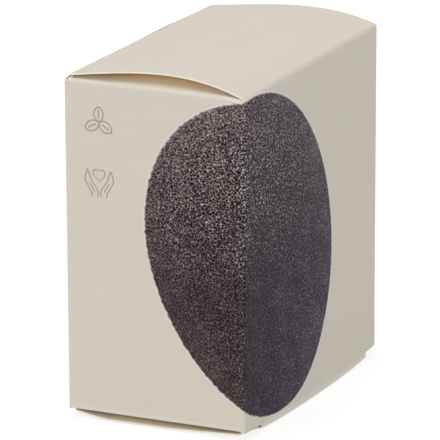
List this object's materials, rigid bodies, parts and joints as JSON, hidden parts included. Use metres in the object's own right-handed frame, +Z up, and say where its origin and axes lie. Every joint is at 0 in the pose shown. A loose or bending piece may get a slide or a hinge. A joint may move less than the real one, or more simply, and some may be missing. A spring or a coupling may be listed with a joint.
{
  "type": "boxed konjac sponge",
  "caption": "Folding paperboard carton with creased tuck-in end closures, holding a soft half-ball konjac sponge for washing the face.",
  "frame": {"origin": "on the standing surface, under the middle of the carton", "axes": "+Z up, front panel faces -Y, the side panel at the left of the picture faces -X"},
  "size_m": [0.08, 0.048, 0.0913],
  "materials": {
    "carton_board": "matte",
    "konjac_sponge": "matte"
  },
  "bodies": {
    "carton_tube": {"front_panel": "carton_board", "left_side_panel": "carton_board", "back_panel": "carton_board", "right_side_panel": "carton_board", "glue_flap": "carton_board"},
    "lid": {"lid_panel": "carton_board"},
    "lid_tuck": {"lid_tuck_flap": "carton_board"},
    "left_dust": {"left_dust_flap": "carton_board"},
    "right_dust": {"right_dust_flap": "carton_board"},
    "base": {"base_panel": "carton_board"},
    "base_tuck": {"base_tuck_flap": "carton_board"},
    "base_left_dust": {"base_left_dust_flap": "carton_board"},
    "base_right_dust": {"base_right_dust_flap": "carton_board"},
    "sponge_body": {"sponge": "konjac_sponge"}
  },
  "joints": [
    {"name": "lid_crease", "type": "hinge", "parent": "carton_tube", "child": "lid", "pos_m": [0, -0.0234, 0.08715], "axis": [1, 0, 0], "range_deg": [0, 165]},
    {"name": "lid_tuck_crease", "type": "hinge", "parent": "lid", "child": "lid_tuck", "pos_m": [0, 0.0226, 0.0878], "axis": [1, 0, 0], "range_deg": [0, 25]},
    {"name": "left_dust_crease", "type": "hinge", "parent": "carton_tube", "child": "left_dust", "pos_m": [-0.0394, 0, 0.0867], "axis": [0, -1, 0], "range_deg": [0, 149]},
    {"name": "right_dust_crease", "type": "hinge", "parent": "carton_tube", "child": "right_dust", "pos_m": [0.0394, 0, 0.0867], "axis": [0, 1, 0], "range_deg": [0, 149]},
    {"name": "sponge_lift", "type": "slide", "parent": "carton_tube", "child": "sponge_body", "axis": [0, 0, 1], "range_m": [0, 0.0925]},
    {"name": "base_crease", "type": "hinge", "parent": "carton_tube", "child": "base", "pos_m": [0, -0.0234, 0.0011], "axis": [-1, 0, 0], "range_deg": [0, 165]},
    {"name": "base_tuck_crease", "type": "hinge", "parent": "base", "child": "base_tuck", "pos_m": [0, 0.0226, 0.0023], "axis": [-1, 0, 0], "range_deg": [0, 25]},
    {"name": "base_left_dust_crease", "type": "hinge", "parent": "carton_tube", "child": "base_left_dust", "pos_m": [-0.0394, 0, 0.0029], "axis": [0, 1, 0], "range_deg": [0, 149]},
    {"name": "base_right_dust_crease", "type": "hinge", "parent": "carton_tube", "child": "base_right_dust", "pos_m": [0.0394, 0, 0.0029], "axis": [0, -1, 0], "range_deg": [0, 149]}
  ],
  "couplings": [
    {"joint": "lid_crease", "follows": "sponge_lift", "rad_per_m": 31.1},
    {"joint": "lid_tuck_crease", "follows": "sponge_lift", "rad_per_m": 4.665},
    {"joint": "left_dust_crease", "follows": "sponge_lift", "rad_per_m": 27.99},
    {"joint": "right_dust_crease", "follows": "sponge_lift", "rad_per_m": 27.99},
    {"joint": "base_tuck_crease", "follows": "base_crease", "ratio": 0.15},
    {"joint": "base_left_dust_crease", "follows": "base_crease", "ratio": 0.9},
    {"joint": "base_right_dust_crease", "follows": "base_crease", "ratio": 0.9}
  ]
}
